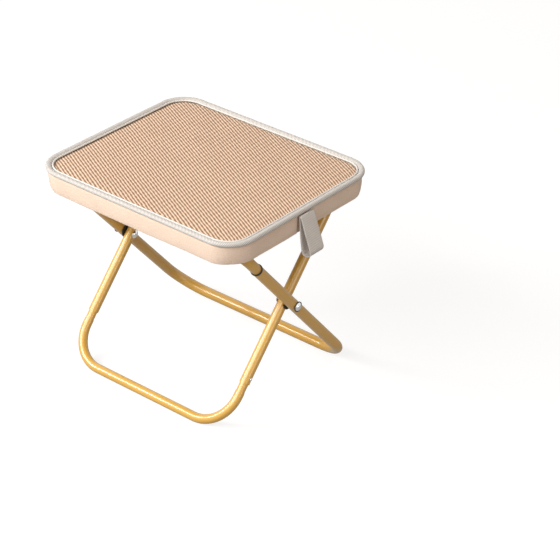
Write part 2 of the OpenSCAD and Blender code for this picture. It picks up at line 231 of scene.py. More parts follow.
def place_group(tree, group, inputs):
    """Places a node group in a material with its own values. Returns the group's outputs."""
    node = tree.nodes.new("ShaderNodeGroup")
    node.node_tree = group
    feed(tree, node, inputs)
    return node.outputs


def add_bump(tree, shader, height, depth, strength):
    """Turns a height from 0 to 1 into relief of that depth in metres."""
    bump = add_node(tree, "Bump", {"Height": height, "Distance": depth, "Strength": strength})
    tree.links.new(bump["Normal"], shader.inputs["Normal"])


def finish_cad_pieces(names, material):
    """Gives CAD nodes their finish."""
    for name in names:
        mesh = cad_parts[name].data
        mesh.materials.clear()
        mesh.materials.append(material)


worn_height = 0.0035
tube_paint, tree, shader = new_material("golden_powder_coat")
place = add_node(tree, "TexCoord", {})["Object"]
paint = place_group(tree, mottle, {
    "Coordinates": place, "Patches per Metre": 14.0, "Softness": 0.3,
    "Light Colour": (0.76, 0.440, 0.084, 1), "Dark Colour": (0.70, 0.390, 0.064, 1)})
over_floor = add_node(tree, "SeparateXYZ", {0: place})["Z"]
near_floor = remap(tree, over_floor, worn_height, 0.0, 0.0, 0.75)
worn = place_group(tree, scuffs, {
    "Coordinates": place, "Marks per Metre": 240.0, "Amount": near_floor})
worn_here = reckon(tree, "MULTIPLY", worn["Mask"], near_floor)
peel = place_group(tree, mottle, {
    "Coordinates": place, "Patches per Metre": 1800.0, "Softness": 0.4})
gloss = remap(tree, peel["Mask"], 0.0, 1.0, 0.28, 0.32)
feed(tree, shader, {
    "Base Color": mix_colours(tree, worn_here, paint["Colour"], (0.42, 0.33, 0.22, 1)),
    "Roughness": reckon(tree, "MAXIMUM", worn_here, gloss),
    "Specular IOR Level": 0.5, "Coat Weight": 0.6, "Coat Roughness": 0.13})
add_bump(tree, shader, peel["Mask"], 0.000004, 0.05)
finish_cad_pieces(["outer_lower_frame", "outer_upper_frame", "inner_lower_frame",
                   "inner_upper_frame"], tube_paint)

# Rings, washers and spacers
# Moulded black nylon, matt with a faint flow grain. They are pressed on the rivets and on the
# necks of the tube joints.
black_nylon, tree, shader = new_material("black_nylon")
place = add_node(tree, "TexCoord", {})["Object"]
grain = place_group(tree, mottle, {
    "Coordinates": place, "Patches per Metre": 1500.0, "Softness": 0.35,
    "Light Colour": (0.030, 0.029, 0.028, 1), "Dark Colour": (0.014, 0.014, 0.015, 1)})
rubbed = place_group(tree, scuffs, {
    "Coordinates": place, "Marks per Metre": 500.0, "Amount": 0.35})
feed(tree, shader, {
    "Base Color": mix_colours(tree, rubbed["Mask"], grain["Colour"], (0.075, 0.073, 0.07, 1)),
    "Roughness": remap(tree, grain["Mask"], 0.0, 1.0, 0.42, 0.58)})
add_bump(tree, shader, grain["Mask"], 0.00003, 0.5)
finish_cad_pieces(["outer_joint_rings", "rivet_head_washers", "pivot_spacers"], black_nylon)

# Rivets and screws
# Domed steel heads with a bright nickel plating. The pivot rivets are set by a press, and the
# screws hold the hinges to the boards.
bright_steel, tree, shader = new_material("nickel_plated_steel")
place = add_node(tree, "TexCoord", {})["Object"]
plating = place_group(tree, mottle, {
    "Coordinates": place, "Patches per Metre": 420.0, "Softness": 0.4,
    "Light Colour": (0.86, 0.855, 0.84, 1), "Dark Colour": (0.74, 0.735, 0.72, 1)})
fine_marks = place_group(tree, scuffs, {
    "Coordinates": place, "Marks per Metre": 900.0, "Amount": 0.45})
feed(tree, shader, {
    "Base Color": plating["Colour"], "Metallic": 1.0,
    "Roughness": remap(tree, fine_marks["Mask"], 0.0, 1.0, 0.12, 0.34)})
add_bump(tree, shader, fine_marks["Mask"], 0.00002, 0.25)
finish_cad_pieces(["pivot_rivet_right", "pivot_rivet_left", "inner_joint_rivets",
                   "hinge_screws_front", "hinge_screws_back"], bright_steel)

# Centre hinges
# Pressed steel leaves and their pins, zinc plated, with the dull spangled grey of zinc. They are
# screwed under the two seat boards.
zinc_plate, tree, shader = new_material("zinc_plated_steel")
place = add_node(tree, "TexCoord", {})["Object"]
spangle = place_group(tree, mottle, {
    "Coordinates": place, "Patches per Metre": 260.0, "Softness": 0.18,
    "Light Colour": (0.66, 0.665, 0.66, 1), "Dark Colour": (0.47, 0.475, 0.48, 1)})
rubbed = place_group(tree, scuffs, {
    "Coordinates": place, "Marks per Metre": 350.0, "Amount": 0.4})
dull = remap(tree, spangle["Mask"], 0.0, 1.0, 0.48, 0.36)
feed(tree, shader, {
    "Base Color": spangle["Colour"], "Metallic": 0.9,
    "Roughness": reckon(tree, "SMOOTH_MIN", dull, rubbed["Mask"], 0.3)})
add_bump(tree, shader, spangle["Mask"], 0.00003, 0.3)
finish_cad_pieces(["hinge_leaves_front", "hinge_leaves_back", "hinge_pins"], zinc_plate)

# Seat boards
# Two plywood boards, raw and lightly sanded. The face grain runs along the long side, and the
# plies show as darker lines round the edge.
ply_pitch = 0.0024
plywood, tree, shader = new_material("raw_plywood")
place = add_node(tree, "TexCoord", {})["Object"]
along_grain = add_node(tree, "VectorMath", {0: place, 1: (0.08, 1.0, 1.0)},
                       operation="MULTIPLY")[0]
grain = place_group(tree, mottle, {
    "Coordinates": along_grain, "Patches per Metre": 180.0, "Softness": 0.28,
    "Light Colour": (0.56, 0.40, 0.25, 1), "Dark Colour": (0.36, 0.235, 0.135, 1)})
pores = place_group(tree, mottle, {
    "Coordinates": along_grain, "Patches per Metre": 1500.0, "Softness": 0.12})
through_board = add_node(tree, "SeparateXYZ", {0: place})["Z"]
ply_wave = reckon(tree, "SINE", reckon(tree, "MULTIPLY", through_board, 2 * pi / ply_pitch))
facing = add_node(tree, "SeparateXYZ", {0: add_node(tree, "TexCoord", {})["Normal"]})["Z"]
on_edge = remap(tree, reckon(tree, "ABSOLUTE", facing), 0.5, 0.2, 0.0, 0.6)
ply_line = reckon(tree, "MULTIPLY", remap(tree, ply_wave, 0.2, 0.6), on_edge)
feed(tree, shader, {
    "Base Color": mix_colours(tree, ply_line, grain["Colour"], (0.20, 0.12, 0.065, 1)),
    "Roughness": remap(tree, pores["Mask"], 0.0, 1.0, 0.74, 0.62)})
add_bump(tree, shader, pores["Mask"], 0.00008, 0.6)
finish_cad_pieces(["seat_board_front", "seat_board_back"], plywood)

# Foam pads
# A thin sheet of cream foam on each board, cut to the board and rounded over at its rim, where
# the piping is sewn down on it.
seat_half_length = 0.175
seat_half_depth = 0.14875
seat_corner = 0.042
board_top = 0.2951
piping_bottom = 0.2996
board_inset = 0.0056
foam_step = 0.006
seam_gap = 0.0003
foam_rim_drop = 0.0002
foam_rise = 0.0011
foam_rise_from = 0.0095
foam_rise_width = 0.006


def edge_depth(x, y, inset):
    """How far a point lies inside the seat's outline, drawn in by an inset."""
    out_x = abs(x) - (seat_half_length - seat_corner)
    out_y = abs(y) - (seat_half_depth - seat_corner)
    outside = hypot(max(out_x, 0), max(out_y, 0)) + min(max(out_x, out_y), 0)
    return seat_corner - inset - outside


def seat_grid(inset, step, y_from, y_to):
    """Rows of points that fill the seat's outline from one y to another."""
    half_x = seat_half_length - inset
    corner = seat_corner - inset
    straight = seat_half_depth - inset - corner
    turns = 7
    rows = [-straight - corner * sin(pi / 2 * (1 - i / turns)) for i in range(turns)]
    count = ceil(2 * straight / step)
    rows += [-straight + 2 * straight * i / count for i in range(count + 1)]
    rows += [straight + corner * sin(pi / 2 * (i + 1) / turns) for i in range(turns)]
    rows = [y_from] + [y for y in rows if y_from + step / 4 < y < y_to - step / 4] + [y_to]
    across = ceil(2 * half_x / step)
    grid = []
    for y in rows:
        over = max(abs(y) - straight, 0)
        width = half_x - corner + max(corner * corner - over * over, 0) ** 0.5
        grid.append([(width * (2 * i / across - 1), y) for i in range(across + 1)])
    return grid


def add_mesh(name, points, faces, uvs, material, smooth=True):
    """Makes a piece from points and faces, with a UV in metres for each corner of each face."""
    mesh = bpy.data.meshes.new(name)
    mesh.from_pydata(points, [], faces)
    layer = mesh.uv_layers.new(name="cloth")
    layer.data.foreach_set("uv", [value for face in uvs for uv in face for value in uv])
    mesh.polygons.foreach_set("use_smooth", [smooth] * len(faces))
    if sum(face.area * face.center.dot(face.normal) for face in mesh.polygons) < 0:
        mesh.flip_normals()
    mesh.materials.append(material)
    piece = bpy.data.objects.new(name, mesh)
    scene.collection.objects.link(piece)
    return piece


def skin_grid(grid):
    """Points, faces and UVs of a grid. The UVs are the places on the seat."""
    wide = len(grid[0])
    flat = [point for row in grid for point in row]
    faces = [(j * wide + i, j * wide + i + 1, (j + 1) * wide + i + 1, (j + 1) * wide + i)
             for j in range(len(grid) - 1) for i in range(wide - 1)]
    return flat, faces, [[(flat[v][0], flat[v][1]) for v in face] for face in faces]


foam, tree, shader = new_material("cream_foam")
cloth = add_node(tree, "UVMap", {}, uv_map="cloth")[0]
cells = place_group(tree, mottle, {
    "Coordinates": cloth, "Patches per Metre": 1400.0, "Softness": 0.2,
    "Light Colour": (0.86, 0.83, 0.73, 1), "Dark Colour": (0.66, 0.62, 0.52, 1)})
feed(tree, shader, {"Base Color": cells["Colour"], "Roughness": 0.95})
add_bump(tree, shader, cells["Mask"], 0.0004, 0.8)


def foam_height(x, y):
    """Top of the foam: low under the piping, then full, with a soft step between."""
    rise = min(max((edge_depth(x, y, 0) - foam_rise_from) / foam_rise_width, 0), 1)
    return piping_bottom - foam_rim_drop + rise * rise * (3 - 2 * rise) * foam_rise


for half, y_from, y_to in (("front", -seat_half_depth + board_inset, -seam_gap),
                           ("back", seam_gap, seat_half_depth - board_inset)):
    rows = seat_grid(board_inset, foam_step, y_from, y_to)
    top, faces, _ = skin_grid([[(x, y, foam_height(x, y)) for x, y in row] for row in rows])
    count = len(top)
    wide = len(rows[0])
    deep = len(rows)
    rim = ([(0, i) for i in range(wide)] + [(j, wide - 1) for j in range(1, deep)]
           + [(deep - 1, i) for i in range(wide - 2, -1, -1)]
           + [(j, 0) for j in range(deep - 2, 0, -1)])
    rim = [j * wide + i for j, i in rim]
    sides = [(a, a + count, b + count, b) for a, b in zip(rim, rim[1:] + rim[:1])]
    bottoms = [tuple(v + count for v in reversed(face)) for face in faces]
    points = top + [(x, y, board_top) for x, y, _ in top]
    faces = faces + bottoms + sides
    uvs = [[(points[v][0] + points[v][2], points[v][1]) for v in face] for face in faces]
    pad = add_mesh("foam_" + half, points, faces, uvs, foam, smooth=False)
    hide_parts("foam_pad_" + half)
    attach(pad, "seat_" + half)

# Mesh cover
# One piece of coarse woven mesh, stretched over the foam and sewn into the piping all round.
# Thick peach ribs run slantwise, and each rib swells and narrows. The ground threads between
# them are painted dark, as the shade in the grooves.
weave, given, result = new_group(
    "slant_weave",
    {"Coordinates": Vector(), "Rib Pitch": 0.00427, "Rib Slant": radians(62.8),
     "Bead Length": 0.0099, "Bead Shift": 0.22, "Bead Depth": 0.3, "Groove Width": 0.5,
     "Unevenness": 0.1, "Wander": 0.0,
     "Ridge Colour": (1.0, 0.8, 0.6, 1.0), "Groove Shade Colour": (0.3, 0.2, 0.1, 1.0)},
    {"Colour": "Color", "Height": "Float"})
parts = add_node(weave, "SeparateXYZ", {0: given["Coordinates"]})
slant_cos = reckon(weave, "COSINE", given["Rib Slant"])
slant_sin = reckon(weave, "SINE", given["Rib Slant"])
drift = add_node(weave, "TexNoise", {"Vector": given["Coordinates"], "Scale": 95.0, "Detail": 1.0})
wandered = reckon(weave, "MULTIPLY_ADD", reckon(weave, "SUBTRACT", drift["Fac"], 0.5),
                  given["Wander"], reckon(weave, "MULTIPLY", parts["X"], slant_cos))
across_ribs = reckon(weave, "MULTIPLY_ADD", parts["Y"], slant_sin, wandered)
along_ribs = reckon(weave, "SUBTRACT", reckon(weave, "MULTIPLY", parts["X"], slant_sin),
                    reckon(weave, "MULTIPLY", parts["Y"], slant_cos))
rib_count = reckon(weave, "DIVIDE", across_ribs, given["Rib Pitch"])
rib_wave = reckon(weave, "COSINE", reckon(weave, "MULTIPLY", rib_count, 2 * pi))
bead_count = reckon(weave, "MULTIPLY_ADD", rib_count, given["Bead Shift"],
                    reckon(weave, "DIVIDE", along_ribs, given["Bead Length"]))
bead_wave = reckon(weave, "COSINE", reckon(weave, "MULTIPLY", bead_count, 2 * pi))
swell = reckon(weave, "MULTIPLY_ADD", bead_wave, given["Bead Depth"], rib_wave)
slope = 1.15
ridge = remap(weave, swell, reckon(weave, "SUBTRACT", given["Groove Width"], slope),
              reckon(weave, "ADD", given["Groove Width"], slope),
              interpolation_type="SMOOTHSTEP")
threads = add_node(weave, "TexNoise", {
    "Vector": given["Coordinates"], "Scale": 900.0, "Detail": 2.0})
thready = reckon(weave, "MULTIPLY_ADD", reckon(weave, "SUBTRACT", threads["Fac"], 0.5),
                 given["Unevenness"], ridge, use_clamp=True)
# Where the relief is low, the colour turns to the groove colour: painted shade between the ribs.
rib_and_groove_shade = mix_colours(weave, thready, given["Groove Shade Colour"], given["Ridge Colour"])
weave.links.new(rib_and_groove_shade, result["Colour"])
weave.links.new(thready, result["Height"])

mesh_cloth, tree, shader = new_material("slant_ribbed_mesh")
cloth = add_node(tree, "UVMap", {}, uv_map="cloth")[0]
# Its groove colour is painted shade between the ribs, far darker than the peach ribs.
ribs = place_group(tree, weave, {
    "Coordinates": cloth, "Rib Pitch": 0.00427, "Rib Slant": radians(62.8),
    "Bead Length": 0.0099, "Bead Shift": 0.22, "Bead Depth": 0.24, "Groove Width": -0.06,
    "Unevenness": 0.5, "Wander": 0.0018,
    "Ridge Colour": (1.0, 0.745, 0.56, 1), "Groove Shade Colour": (0.27, 0.135, 0.062, 1)})
wear = place_group(tree, mottle, {
    "Coordinates": cloth, "Patches per Metre": 22.0, "Softness": 0.35,
    "Light Colour": (1.0, 1.0, 1.0, 1), "Dark Colour": (0.90, 0.89, 0.88, 1)})
feed(tree, shader, {
    "Base Color": mix_colours(tree, 1.0, ribs["Colour"], wear["Colour"], "MULTIPLY"),
    "Roughness": remap(tree, ribs["Height"], 0.0, 1.0, 0.9, 0.62), "Sheen Weight": 0.15})
add_bump(tree, shader, ribs["Height"], 0.0007, 0.8)

mesh_inset = 0.0108
mesh_step = 0.0045
mesh_top = 0.3023
mesh_seam_drop = 0.0010
mesh_rise = 0.0014
mesh_rise_width = 0.007
mesh_ripple = 0.00025
ripples_per_metre = 26


def mesh_height(x, y):
    """Top of the mesh: pulled down where it is sewn in, and drawn flat over the foam."""
    rise = mesh_rise * (1 - exp(-edge_depth(x, y, mesh_inset) / mesh_rise_width))
    ripple = mesh_ripple * noise.noise(Vector((x * ripples_per_metre, y * ripples_per_metre, 3.1)))
    return mesh_top - mesh_seam_drop + rise + ripple


rows = seat_grid(mesh_inset, mesh_step, -seat_half_depth + mesh_inset, seat_half_depth - mesh_inset)
points, faces, uvs = skin_grid([[(x, y, mesh_height(x, y)) for x, y in row] for row in rows])
mesh_cover = add_mesh("mesh_cover", points, faces, uvs, mesh_cloth)
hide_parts("mesh_cover_front", "mesh_cover_back")
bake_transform(mesh_cover)


# Piping
# A silky grey twill tape is folded round a soft cord and sewn to the rim of the seat, so that it
# stands up as a flat round roll. It runs all round in one length.
def seat_edge(inset, distance):
    """A point of the seat's outline and its outward direction, from the middle of the front."""
    corner = seat_corner - inset
    straight = seat_half_length - seat_corner
    side = seat_half_depth - seat_corner
    quarter = edge_quarter(inset)
    number, along = divmod(distance, quarter)
    number = int(number) % 4
    if number % 2:
        along = quarter - along
    if along <= straight:
        x, y, out_x, out_y = along, -side - corner, 0, -1
    elif along <= straight + corner * pi / 2:
        turn = (along - straight) / corner
        out_x, out_y = sin(turn), -cos(turn)
        x, y = straight + corner * out_x, -side + corner * out_y
    else:
        x, y, out_x, out_y = straight + corner, along - quarter, 1, 0
    if number in (2, 3):
        x, out_x = -x, -out_x
    if number in (1, 2):
        y, out_y = -y, -out_y
    return Vector((x, y, 0)), Vector((out_x, out_y, 0))


def edge_quarter(inset):
    """Length of the outline from the middle of the front to the middle of the right side."""
    corner = seat_corner - inset
    return seat_half_length - seat_corner + corner * pi / 2 + seat_half_depth - seat_corner


def sweep(name, stations, sections, material, closed=False):
    """Skins closed sections. A station is (point, first axis, second axis, distance along)."""
    points = [point + a * across + b * over
              for (point, across, over, _), section in zip(stations, sections)
              for a, b in section]
    size = len(sections[0])
    girth = [0.0]
    for (a0, b0), (a1, b1) in zip(sections[0], sections[0][1:] + sections[0][:1]):
        girth.append(girth[-1] + hypot(a1 - a0, b1 - b0))
    faces = []
    uvs = []
    for j in range(len(stations) if closed else len(stations) - 1):
        k = (j + 1) % len(stations)
        here = stations[j][3]
        there = stations[k][3] if k else here + (stations[1][3] - stations[0][3])
        for i in range(size):
            n = (i + 1) % size
            faces.append((j * size + i, j * size + n, k * size + n, k * size + i))
            uvs.append([(here, girth[i]), (here, girth[i + 1]),
                        (there, girth[i + 1]), (there, girth[i])])
    if not closed:
        last = (len(stations) - 1) * size
        for start, order in ((0, range(size - 1, -1, -1)), (last, range(size))):
            faces.append(tuple(start + i for i in order))
            uvs.append([sections[0][i] for i in order])
    return add_mesh(name, [tuple(point) for point in points], faces, uvs, material)


def tape_material(name, light, dark, roughness):
    """A fine slanted twill, light on its ribs and painted darker between them, as shade."""
    material, tree, shader = new_material(name)
    cloth = add_node(tree, "UVMap", {}, uv_map="cloth")[0]
    twill = place_group(tree, weave, {
        "Coordinates": cloth, "Rib Pitch": 0.0019, "Rib Slant": radians(38),
        "Bead Length": 0.0024, "Bead Shift": 0.5, "Bead Depth": 0.10, "Groove Width": -0.2,
        "Unevenness": 0.2, "Ridge Colour": light, "Groove Shade Colour": dark})
    fluff = place_group(tree, mottle, {
        "Coordinates": cloth, "Patches per Metre": 60.0, "Softness": 0.4,
        "Light Colour": (1.0, 1.0, 1.0, 1), "Dark Colour": (0.93, 0.925, 0.92, 1)})
    feed(tree, shader, {
        "Base Color": mix_colours(tree, 1.0, twill["Colour"], fluff["Colour"], "MULTIPLY"),
        "Roughness": remap(tree, twill["Height"], 0.0, 1.0, roughness + 0.2, roughness),
        "Sheen Weight": 0.15})
    add_bump(tree, shader, twill["Height"], 0.0003, 0.7)
    return material


upwards = Vector((0, 0, 1))
seat_top = 0.306
piping_height = seat_top - piping_bottom
piping_ripple = 0.00010
piping_foot = 0.004
roll = 0.0032
roll_flank = ((-0.0044, 0.0001), (-0.0056, 0.0003), (-0.0068, 0.0009), (-0.0078, 0.0019),
              (-0.0085, 0.0032))
roll_base = ((-0.0086, 0.0018), (-0.0080, 0.0005), (-0.0066, 0.0), (-0.0046, 0.0))


def round_the_seat(inset, height, count):
    """Stations right round the seat at an inset and a height."""
    length = 4 * edge_quarter(inset)
    stations = []
    for i in range(count):
        point, outwards = seat_edge(inset, length * i / count)
        stations.append((point + upwards * height, outwards, upwards, length * i / count))
    return stations


def piping_section(distance):
    """The roll's section, (outwards, upwards), from its outer side over the top to the inner."""
    ripple = piping_ripple * noise.noise(Vector((distance * 160, 0.3, 0.7)))
    section = []
    for i in range(10):
        turn = -pi / 2 + pi * i / 9
        section.append((-roll + (roll + ripple) * cos(turn), roll + (roll + ripple) * sin(turn)))
    section += [(out, piping_height - drop) for out, drop in roll_flank]
    section += roll_base
    return [(out, up + (ripple if up > piping_foot else 0)) for out, up in section]


# The second, dark colour of the tape is painted shade between its twill ribs.
twill_tape = tape_material("grey_twill_tape", (0.85, 0.82, 0.79, 1), (0.33, 0.315, 0.30, 1), 0.5)
stations = round_the_seat(0, piping_bottom, 420)
piping = sweep("piping", stations, [piping_section(s[3]) for s in stations], twill_tape,
               closed=True)
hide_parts("piping_front", "piping_back")
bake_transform(piping)

# Piping lip
# A thin white cord lies along the inner side of the roll and covers the cut edge of the mesh.
lip_inset = 0.0100
lip_radius = 0.00125
lip_height = 0.3037
# The second colour of the cord is painted shade between its twill ribs.
cord_tape = tape_material("white_cord", (0.90, 0.875, 0.85, 1), (0.70, 0.675, 0.65, 1), 0.55)
cord_section = [(lip_radius * cos(pi * i / 6), lip_radius * sin(pi * i / 6)) for i in range(12)]
stations = round_the_seat(lip_inset, lip_height, 400)
lip = sweep("piping_lip", stations, [cord_section] * len(stations), cord_tape, closed=True)
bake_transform(lip)


# Piping stitches
# One row of light grey thread in the groove between roll and lip, sewn through tape, mesh and
# foam.
def thread_material(name, light, dark):
    """A fine twisted sewing thread, painted darker in the grooves of its twist, as shade."""
    material, tree, shader = new_material(name)
    twist = place_group(tree, weave, {
        "Coordinates": add_node(tree, "UVMap", {}, uv_map="cloth")[0], "Rib Pitch": 0.0004,
        "Rib Slant": radians(35), "Bead Length": 0.002, "Bead Shift": 0.3, "Bead Depth": 0.1,
        "Groove Width": 0.0, "Ridge Colour": light, "Groove Shade Colour": dark})
    feed(tree, shader, {"Base Color": twist["Colour"], "Roughness": 0.7})
    add_bump(tree, shader, twist["Height"], 0.00008, 0.6)
    return material


def add_stitches(name, line, length, material, radius):
    """A row of stitches. The line gives a point and its upward direction for each distance."""
    stitch = 0.0026
    gap = 0.0010
    nearby = 0.0002
    thickness = (0.35, 0.9, 1.0, 0.9, 0.35)
    depth = (1.1, 0.3, 0.0, 0.3, 1.1)
    points, faces, uvs = [], [], []
    count = int(length / (stitch + gap))
    for number in range(count):
        start = (number + 0.5) * length / count - stitch / 2
        rings = []
        for step in range(5):
            along = start + stitch * step / 4
            centre, up = line(along)
            ahead = (line(along + nearby)[0] - line(along - nearby)[0]).normalized()
            side = ahead.cross(up)
            thick = radius * thickness[step]
            rings.append(len(points))
            points += [tuple(centre - up * radius * depth[step] + side * thick * cos(pi * k / 3)
                             + up * thick * sin(pi * k / 3)) for k in range(6)]
        for a, b in zip(rings, rings[1:]):
            for k in range(6):
                n = (k + 1) % 6
                faces.append((a + k, a + n, b + n, b + k))
                uvs.append([(0.0, k * radius), (0.0, (k + 1) * radius),
                            (stitch / 4, (k + 1) * radius), (stitch / 4, k * radius)])
        for base, order in ((rings[0], range(5, -1, -1)), (rings[-1], range(6))):
            faces.append(tuple(base + k for k in order))
            uvs.append([(0.0, k * radius) for k in order])
    return add_mesh(name, points, faces, uvs, material)


groove_inset = 0.0087
groove_depth = 0.0029
# The thread's second colour is painted shade in the grooves of its twist.
thread = thread_material("light_grey_thread", (0.62, 0.60, 0.57, 1), (0.33, 0.315, 0.30, 1))


def piping_groove(distance):
    """The sewn groove of the piping, by distance round the seat."""
    return seat_edge(groove_inset, distance)[0] + upwards * (seat_top - groove_depth), upwards


piping_stitches = add_stitches("piping_stitches", piping_groove, 4 * edge_quarter(groove_inset),
                               thread, 0.00032)
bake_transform(piping_stitches)

# Side bands
# Peach suede-like fabric hangs from the piping round each half of the seat, with its lower edge
# turned in as a hem. It gathers a little at the corners. Near the middle of the short sides,
# where the seat folds, the front band steps down to a single layer behind the pull strap.
suede, tree, shader = new_material("peach_suede")
cloth = add_node(tree, "UVMap", {}, uv_map="cloth")[0]
nap = place_group(tree, mottle, {
    "Coordinates": cloth, "Patches per Metre": 620.0, "Softness": 0.2,
    "Light Colour": (0.96, 0.77, 0.635, 1), "Dark Colour": (0.82, 0.62, 0.485, 1)})
brushed = place_group(tree, mottle, {
    "Coordinates": cloth, "Patches per Metre": 45.0, "Softness": 0.3,
    "Light Colour": (1.0, 1.0, 1.0, 1), "Dark Colour": (0.93, 0.915, 0.90, 1)})
feed(tree, shader, {
    "Base Color": mix_colours(tree, 1.0, nap["Colour"], brushed["Colour"], "MULTIPLY"),
    "Roughness": 0.92, "Sheen Weight": 0.35, "Sheen Roughness": 0.5})
add_bump(tree, shader, nap["Mask"], 0.00045, 0.7)

band_inset = 0.0039
band_height = 0.028
band_belly = 0.004
band_wave = 0.0004
edge_wave = 0.0008
corner_lift = 0.0010
corner_tuck = 0.0018
pucker_length = 0.0075
pucker_depth = 0.00030
band_fall = ((0.0, 0.0), (0.10, -0.18), (0.16, -0.38), (0.16, -0.58), (0.06, -0.78),
             (-0.1, -0.92))
hem_turn = ((-0.0003, -0.0014), (-0.0011, -0.0021), (-0.0020, -0.0014), (-0.0023, 0.0),
            (-0.0021, 0.0042), (-0.0014, 0.0048))
seam_half_gap = 0.00035
band_step = 0.0160
step_seam = 0.0013
# Each layer is given by how far it lies back and its thickness.
full_layer = (0.0, 0.0012)
step_layer = (0.0009, 0.0005)
seam_layer = (0.0012, 0.0003)
band_quarter = edge_quarter(band_inset)
band_reach = band_quarter - seam_half_gap


def band_section(distance, stepped):
    """The band's section, (outwards, upwards from the piping), with its turned-in hem."""
    outwards = seat_edge(band_inset, distance)[1]
    in_corner = min(abs(outwards.x), abs(outwards.y)) * 1.414
    to_middle = band_quarter - abs(distance)
    recess, thickness = full_layer
    if stepped and to_middle < band_step:
        recess, thickness = seam_layer if to_middle > band_step - step_seam else step_layer
    pucker = pucker_depth * in_corner * sin(distance * 2 * pi / pucker_length)
    pucker += band_wave * noise.noise(Vector((distance * 34, 0.9, 0.2)))
    lift = edge_wave * noise.noise(Vector((distance * 17, 4.2, 0.8))) + corner_lift * in_corner
    tuck = corner_tuck * in_corner
    outer = [(out * band_belly - pucker * up - tuck * up * up - recess,
              up * band_height + lift * up * up) for out, up in band_fall]
    low_out, low_up = outer[-1]
    return (outer + [(low_out + out, low_up + up) for out, up in hem_turn]
            + [(out - thickness, up) for out, up in reversed(outer[:-1])])


# Closer stations lie on either side of the step and of its seam.
evenly = [(band_quarter - 0.020) * (i / 110 - 1) for i in range(221)]
near_middle = [band_quarter - t for t in (seam_half_gap, 0.004, 0.008, 0.012, 0.01465, 0.01475,
                                          0.01595, 0.01605, 0.018)]
for half, sign in (("front", 1), ("back", -1)):
    stations = []
    sections = []
    for distance in sorted(evenly + near_middle + [-d for d in near_middle]):
        point, outwards = seat_edge(band_inset, distance)
        stations.append((point * sign + upwards * piping_bottom, outwards * sign, upwards,
                         distance))
        sections.append(band_section(distance, sign > 0))
    band = sweep("side_band_" + half + "_cloth", stations, sections, suede)
    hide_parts("side_band_" + half)
    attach(band, "seat_" + half)
    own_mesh(band)

# Hem stitches
# The hem is sewn with one row of peach thread, a few millimetres above the lower edge of the
# band.
hem_row = 4
hem_end = 0.002
thread_lift = 0.0001
# The thread's second colour is painted shade in the grooves of its twist.
peach_thread = thread_material("peach_thread", (0.92, 0.73, 0.59, 1), (0.66, 0.48, 0.36, 1))
for half, sign in (("front", 1), ("back", -1)):
    def hem_line(distance):
        """A point on the outside of the hem and the direction away from it."""
        along = distance - band_reach + hem_end
        point, outwards = seat_edge(band_inset, along)
        out, up = band_section(along, sign > 0)[hem_row]
        place = (point + outwards * (out + thread_lift)) * sign + upwards * (piping_bottom + up)
        return place, outwards * sign

    hem_stitches = add_stitches("hem_stitches_" + half, hem_line, 2 * (band_reach - hem_end),
                                peach_thread, 0.00027)
    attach(hem_stitches, "seat_" + half)
    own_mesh(hem_stitches)

# Fold gussets
# A thin strip of the same suede behind the bands covers the edges of foam and boards at the
# middle of each short side.
gusset_reach = 0.0245
gusset_outside = 0.1696
gusset_thickness = 0.00015
gusset_levels = [-0.0003, -0.003, -0.006, -0.009, -0.0122]
section = ([(0.0, up) for up in gusset_levels]
           + [(-gusset_thickness, up) for up in reversed(gusset_levels)])
for side, sign in (("right", 1), ("left", -1)):
    stations = [(Vector((sign * gusset_outside, y, piping_bottom)), Vector((sign, 0, 0)),
                 upwards, y) for y in [gusset_reach * (i / 24 - 1) for i in range(49)]]
    gusset = sweep("fold_gusset_" + side, stations, [section] * len(stations), suede)
    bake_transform(gusset)

# Ring lips
# The moulded ring of each joint of the outer frame has a soft lip on either side, which laps
# over the ends of the tubes and keeps dirt out of the joint.
ring_points = [v.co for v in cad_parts["outer_joint_rings"].data.vertices if v.co.x > 0]
ring_radius = (max(p.x for p in ring_points) - min(p.x for p in ring_points)) / 2
low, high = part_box("outer_joint_rings")
pivot_low, pivot_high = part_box("pivot_rivet_right")
section = [(-0.00025, -0.0019), (0.00005, -0.00185), (0.00025, -0.0012), (0.0003, 0.0),
           (0.00025, 0.0012), (0.00005, 0.00185), (-0.00025, 0.0019), (-0.00025, 0.00095),
           (0.00006, 0.0009), (0.00006, -0.0009), (-0.00025, -0.00095)]
for side, sign in (("right", 1), ("left", -1)):
    centre = Vector((sign * (high.x - ring_radius), (low.y + high.y) / 2, (low.z + high.z) / 2))
    pivot = Vector((centre.x, (pivot_low.y + pivot_high.y) / 2, (pivot_low.z + pivot_high.z) / 2))
    down = (pivot - centre).normalized()
    stations = []
    for turn in [2 * pi * i / 48 for i in range(48)]:
        outwards = Vector((1, 0, 0)) * cos(turn) + down.cross(Vector((1, 0, 0))) * sin(turn)
        stations.append((centre + outwards * ring_radius, outwards, down, ring_radius * turn))
    ring_lip = sweep("ring_lip_" + side, stations, [section] * len(stations), black_nylon,
                     closed=True)
    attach(ring_lip, "outer_legs")

# Bar loops
# Two lengths of grey webbing on each half pass round the top bar of a leg frame. Their ends are
# turned out flat and sewn and stapled to the board.
webbing, tree, shader = new_material("grey_webbing")
cloth = add_node(tree, "UVMap", {}, uv_map="cloth")[0]
